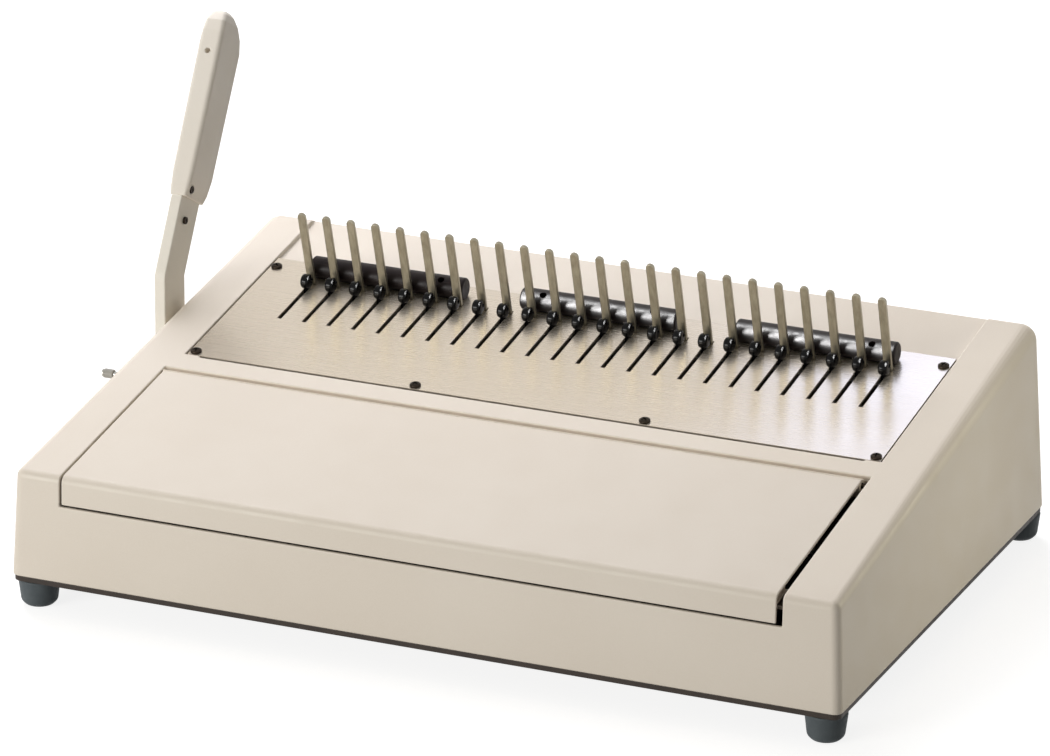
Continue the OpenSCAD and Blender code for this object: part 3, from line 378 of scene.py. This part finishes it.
def copies(name, mesh, places, sharp):
    """One object with a copy of mesh at each place, smooth but for edges sharper than sharp."""
    bm = bmesh.new()
    for place in places:
        spare = mesh.copy()
        spare.transform(place)
        bm.from_mesh(spare)
        bpy.data.meshes.remove(spare)
    whole = bpy.data.meshes.new(name)
    bm.to_mesh(whole)
    bm.free()
    whole.shade_smooth()
    whole.set_sharp_from_angle(angle=math.radians(sharp))
    obj = bpy.data.objects.new(name, whole)
    scene.collection.objects.link(obj)
    return obj


def dress(obj, slot, body, *replaced):
    """Gives a piece its material and body, and hides the nodes it stands in for."""
    obj.data.materials.append(MATERIALS[slot])
    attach(obj, body)
    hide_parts(*replaced)


def hook_head():
    """A rounded hook head with its mouth towards the fingers, on a flat stem."""
    r, half = HOOK_D / 2, HOOK_W / 2
    round_r, round_x = r - HOOK_FILLET, half - HOOK_FILLET
    profile = [(0, -half), *arc(round_r, -round_x, HOOK_FILLET, -90, 0, FILLET_STEPS),
               *arc(round_r, round_x, HOOK_FILLET, 0, 90, FILLET_STEPS), (0, half)]
    drum = turned(profile, HOOK_STEPS)
    drum.transform(Matrix.Translation((0, 0, r)) @ Matrix.Rotation(math.pi / 2, 4, "Y"))
    tilt = math.radians(MOUTH_TILT)
    run = Vector((math.cos(tilt), math.sin(tilt))) * HOOK_D
    lip = Vector((-math.sin(tilt), math.cos(tilt))) * MOUTH_R
    channel = [*arc(MOUTH_Y, MOUTH_Z, MOUTH_R, 90 + MOUTH_TILT, 270 + MOUTH_TILT, MOUTH_STEPS),
               (MOUTH_Y - lip.x + run.x, MOUTH_Z - lip.y + run.y),
               (MOUTH_Y + lip.x * UPPER_LIP + run.x, MOUTH_Z + lip.y * UPPER_LIP + run.y)]
    foot, reach = STEM_FOOT_N - DECK_TOP_N - HOOK_LIFT, STEM_L / 2
    stem = [(-reach, foot), (reach, foot), (reach, STEM_TOP), (-reach, STEM_TOP)]
    return combined(drum, [("DIFFERENCE", prism(channel, -HOOK_W, HOOK_W)),
                           ("UNION", prism(stem, -STEM_W / 2, STEM_W / 2))])


def deck_screw():
    """A pan-head screw with a cross recess, standing on z = 0."""
    shank, r = SCREW_D / 2, HEAD_D / 2
    rise = [math.radians(a) for a in range(0, 90, DOME_STEP)]
    dome = [(r * math.cos(a), HEAD_RIM + (HEAD_H - HEAD_RIM) * math.sin(a)) for a in rise]
    profile = [(0, -SCREW_L), (shank - TIP_IN, -SCREW_L), (shank, -SCREW_L + TIP_UP), (shank, 0),
               (r - HEAD_CHAMFER, 0), (r, HEAD_CHAMFER), *dome, (0, HEAD_H)]
    bottom, top = HEAD_H - CROSS_DEPTH, HEAD_H + MM
    arm = [(-CROSS_LOW, bottom), (CROSS_LOW, bottom), (CROSS_HIGH, top), (-CROSS_HIGH, top)]
    cutters = []
    for turn in (0, math.pi / 2):
        cutter = prism(arm, -CROSS_REACH, CROSS_REACH)
        cutter.transform(Matrix.Rotation(turn, 4, "Z"))
        cutters.append(("DIFFERENCE", cutter))
    return combined(turned(profile, SCREW_STEPS), cutters)


tine_x = [(k - (TINES - 1) / 2) * PITCH for k in range(TINES)]
hook_places = [slope_matrix(x, HOOK_S, DECK_TOP_N + HOOK_LIFT) for x in tine_x]
hooks = copies("hook_heads", hook_head(), hook_places, HOOK_SHARP)
dress(hooks, "hook_black", "hook_carriage", "hooks")

right_spots = ((DECK_SCREW_X, DECK_SCREW_FRONT), (DECK_SCREW_MID, DECK_SCREW_FRONT),
               (DECK_SCREW_X, DECK_SCREW_REAR))
screw_spots = [(side * x, s) for side in (-1, 1) for x, s in right_spots]
screw_places = [slope_matrix(x, s, DECK_TOP_N) @ Matrix.Rotation(math.radians(turn), 4, "Z")
                for (x, s), turn in zip(screw_spots, SCREW_TURNS)]
screws = copies("deck_screw_heads", deck_screw(), screw_places, SCREW_SHARP)
dress(screws, "screw_dark", "machine", "deck_screws")

# Rounded edges of the CAD nodes: angles in degrees, widths in millimetres, and the places that stay sharp
WELD_REACH = 0.002 * MM
FLAT_ANGLE = 0.4
EDGE_ANGLE = 28
EDGE_STEPS = 3
SPLIT_ANGLE = 38
NORMAL_WEIGHT = 60
EDGE_WIDTH = 0.25
EDGE_WIDTHS = {
    "casing": 0.7, "front_lid": 0.6, "lever_arm": 0.8, "lever_grip": 0.5, "base_plate": 0.4,
    "deck_plate": 0.12, "fingers": 0.35, "hooks": 0.45,
    "spine_rest_left": 0.3, "spine_rest_middle": 0.3, "spine_rest_right": 0.3,
    "foot_front_left": 1.0, "foot_front_right": 1.0, "foot_rear_left": 1.0, "foot_rear_right": 1.0,
    "chip_tray": 0.6, "chip_chute": 0.2, "lever_bolt": 0.4, "lever_washer": 0.3,
    "stop_peg": 0.3, "stop_sleeve": 0.4,
}
PEG_HOLE = (Vector((-214, -39.5, 89)) * MM, 12 * MM)
LID_BEND_END = (Vector((-193, -151, 71.1)) * MM, 3.6 * MM)
SPARED = {"casing": PEG_HOLE, "front_lid": LID_BEND_END}


def edge_choice(spot, reach):
    """Nodes that mark the sharp edges, apart from those within reach of spot."""
    group = bpy.data.node_groups.new("edge_choice", "GeometryNodeTree")
    for way in ("INPUT", "OUTPUT"):
        group.interface.new_socket("Geometry", in_out=way, socket_type="NodeSocketGeometry")
    sharp = add(group, "ShaderNodeMath", operation="GREATER_THAN")
    sharp.inputs[1].default_value = math.radians(EDGE_ANGLE)
    bend = add(group, "GeometryNodeInputMeshEdgeAngle")
    group.links.new(bend.outputs["Unsigned Angle"], sharp.inputs[0])
    apart = add(group, "ShaderNodeVectorMath", operation="DISTANCE")
    apart.inputs[1].default_value = spot
    place = add(group, "GeometryNodeInputPosition")
    group.links.new(place.outputs["Position"], apart.inputs[0])
    clear = add(group, "ShaderNodeMath", operation="GREATER_THAN")
    clear.inputs[1].default_value = reach
    group.links.new(apart.outputs["Value"], clear.inputs[0])
    chosen = add(group, "ShaderNodeMath", operation="MULTIPLY")
    group.links.new(sharp.outputs["Value"], chosen.inputs[0])
    group.links.new(clear.outputs["Value"], chosen.inputs[1])
    store = add(group, "GeometryNodeStoreNamedAttribute", data_type="FLOAT", domain="EDGE")
    store.inputs["Name"].default_value = "bevel_weight_edge"
    group.links.new(chosen.outputs["Value"], store.inputs["Value"])
    given, result = add(group, "NodeGroupInput"), add(group, "NodeGroupOutput")
    group.links.new(given.outputs["Geometry"], store.inputs["Geometry"])
    group.links.new(store.outputs["Geometry"], result.inputs["Geometry"])
    return group


def soften(obj, width, spared):
    """Rounded edges on a CAD node, by modifiers alone; spared is a spot and a reach, or None."""
    weld = obj.modifiers.new("weld", "WELD")
    weld.merge_threshold = WELD_REACH
    flat = obj.modifiers.new("flat", "DECIMATE")
    flat.decimate_type = "DISSOLVE"
    flat.angle_limit = math.radians(FLAT_ANGLE)
    if spared:
        spot, reach = spared
        choice = obj.modifiers.new("choice", "NODES")
        choice.node_group = edge_choice(obj.matrix_world.inverted() @ spot, reach)
    bevel = obj.modifiers.new("edges", "BEVEL")
    bevel.width = width
    bevel.segments = EDGE_STEPS
    bevel.limit_method = "WEIGHT" if spared else "ANGLE"
    bevel.angle_limit = math.radians(EDGE_ANGLE)
    bevel.use_clamp_overlap = False
    split = obj.modifiers.new("split", "EDGE_SPLIT")
    split.split_angle = math.radians(SPLIT_ANGLE)
    normal = obj.modifiers.new("normals", "WEIGHTED_NORMAL")
    normal.keep_sharp = True
    normal.weight = NORMAL_WEIGHT


# Each node gets its slot's material and its rounded edges
for name, obj in nodes.items():
    for holder in obj.material_slots:
        holder.material = MATERIALS[slot_of[name]]
    soften(obj, EDGE_WIDTHS.get(name, EDGE_WIDTH) * MM, SPARED.get(name))

# Stage: light of the sky, and a pale floor that shows white but keeps the shadow
SKY_COLOUR = (1.0, 0.965, 0.84, 1)
SKY_STRENGTH = 0.2
FLOOR_HALF = 12
FLOOR_DROP = 0.4 * MM
FLOOR_COLOUR = (0.42, 0.42, 0.42, 1)
FLOOR_ROUGH = 0.9
FLOOR_GLOW = 0.84


def seen_rays(tree):
    """1 for the rays that show the background: camera, glossy and transmission rays."""
    path = add(tree, "ShaderNodeLightPath")
    fac = path.outputs["Is Camera Ray"]
    for kind in ("Is Glossy Ray", "Is Transmission Ray"):
        most = add(tree, "ShaderNodeMath", operation="MAXIMUM")
        tree.links.new(fac, most.inputs[0])
        tree.links.new(path.outputs[kind], most.inputs[1])
        fac = most.outputs["Value"]
    return fac


scene.view_settings.view_transform = "Standard"
world = bpy.data.worlds.new("studio")
scene.world = world
world.use_nodes = True
sky = world.node_tree
ambient = next(n for n in sky.nodes if n.type == "BACKGROUND")
ambient.inputs["Color"].default_value = SKY_COLOUR
ambient.inputs["Strength"].default_value = SKY_STRENGTH
out = next(n for n in sky.nodes if n.type == "OUTPUT_WORLD")
white = add(sky, "ShaderNodeBackground")
either = add(sky, "ShaderNodeMixShader")
sky.links.new(seen_rays(sky), either.inputs["Fac"])
sky.links.new(ambient.outputs["Background"], either.inputs[1])
sky.links.new(white.outputs["Background"], either.inputs[2])
sky.links.new(either.outputs["Shader"], out.inputs["Surface"])

floor_mesh = bpy.data.meshes.new("floor")
corners = [(x * FLOOR_HALF, y * FLOOR_HALF, 0) for x, y in ((-1, -1), (1, -1), (1, 1), (-1, 1))]
floor_mesh.from_pydata(corners, [], [range(len(corners))])
floor = bpy.data.objects.new("floor", floor_mesh)
floor.location.z = -FLOOR_DROP
scene.collection.objects.link(floor)
mat, tree, shader = new_material("floor")
shader.inputs["Base Color"].default_value = FLOOR_COLOUR
shader.inputs["Roughness"].default_value = FLOOR_ROUGH
shader.inputs["Specular IOR Level"].default_value = 0
shader.inputs["Emission Color"].default_value = (1, 1, 1, 1)
glow = add(tree, "ShaderNodeMath", operation="MULTIPLY")
glow.inputs[1].default_value = FLOOR_GLOW
tree.links.new(seen_rays(tree), glow.inputs[0])
tree.links.new(glow.outputs["Value"], shader.inputs["Emission Strength"])
floor_mesh.materials.append(mat)


# Lamps: places and sizes in metres, power in watts, spread in degrees
def lamp(name, place, target, size, power, colour, spread=180):
    data = bpy.data.lights.new(name, "AREA")
    data.shape = "RECTANGLE"
    data.size, data.size_y = size
    data.energy = power
    data.color = colour
    data.spread = math.radians(spread)
    obj = bpy.data.objects.new(name, data)
    obj.visible_camera = False
    obj.location = place
    obj.rotation_euler = (Vector(target) - Vector(place)).to_track_quat("-Z", "Y").to_euler()
    scene.collection.objects.link(obj)
    return obj


def only_on(light, pieces):
    """Keeps a lamp's light to a few pieces."""
    group = bpy.data.collections.new(light.name)
    for piece in pieces:
        group.objects.link(piece)
    light.light_linking.receiver_collection = group


top = lamp("top", place=(-0.56, 0.6, 1.1), target=(0, 0, 0.1), size=(1.0, 1.0), power=17.0,
           colour=(1.0, 1.0, 1.05))
top.visible_glossy = False
lamp("fill", place=(-1.15, -2.05, 0.4), target=(0, -0.1, 0.06), size=(1.2, 0.7), power=30.5,
     colour=(1.0, 0.99, 0.955))
side = lamp("side", place=(0.7, 0.45, 0.22), target=(0.235, 0.0, 0.06), size=(0.25, 0.25), power=0.088,
            colour=(1.0, 0.93, 0.7), spread=36)
only_on(side, [nodes["casing"]])

# Cards that show only in reflections: name, place, target, size, power, colour, and pieces they are kept to
WHITE, WARM, BLUISH = (1, 1, 1), (1.0, 0.86, 0.66), (0.5, 0.62, 1.0)
deck = [nodes["deck_plate"]]
rests = [nodes["spine_rest_middle"], nodes["spine_rest_right"]]
CARDS = (
    ("sky_card", (-0.75, 1.4, 1.25), (0, 0, 0.13), (2.2, 1.2), 2.5, WARM, []),
    ("deck_card", (0.03, 0.75, 0.74), (0.17, 0.03, 0.13), (0.44, 0.5), 1.3, BLUISH, deck),
    ("rest_front_card", (-0.62, -1.6, 1.1), (0.1, 0.08, 1.1), (0.56, 2.2), 560, WHITE, rests),
    ("rest_top_card", (-0.8, -1.0, 2.6), (0.1, 0.08, 0.2), (0.6, 1.2), 380, WHITE, rests),
    ("hook_card", (1.0, 0.05, 1.25), (0, 0.07, 0.15), (1.3, 1.3), 260, WHITE, [hooks]),
)
for *values, pieces in CARDS:
    card = lamp(*values)
    card.visible_diffuse = False
    if pieces:
        only_on(card, pieces)

# Camera at the photograph's angle, from the fitted view
FRAME_W = 1050
SENSOR_W = 36
F_PX = 6440.65
AZ, EL, ROLL = (math.radians(a) for a in (22.844, 20.313, 0.430))
TX, TY, DIST = 55.307 * MM, 133.155 * MM, 3225.18 * MM
CLIP_NEAR, CLIP_FAR = 0.1, 60
back = Vector((math.sin(AZ) * math.cos(EL), -math.cos(AZ) * math.cos(EL), math.sin(EL)))
level = Vector((0, 0, 1)).cross(back).normalized()
rise = back.cross(level)
right = math.cos(ROLL) * level + math.sin(ROLL) * rise
up = -math.sin(ROLL) * level + math.cos(ROLL) * rise
cam_data = bpy.data.cameras.new("camera")
cam_data.sensor_fit = "HORIZONTAL"
cam_data.sensor_width = SENSOR_W
cam_data.lens = F_PX / FRAME_W * SENSOR_W
cam_data.clip_start, cam_data.clip_end = CLIP_NEAR, CLIP_FAR
camera = bpy.data.objects.new("camera", cam_data)
axes = Matrix((right, up, back)).transposed().to_4x4()
axes.translation = machine(*(right * TX + up * TY + back * DIST))
camera.matrix_world = axes
scene.collection.objects.link(camera)
scene.camera = camera
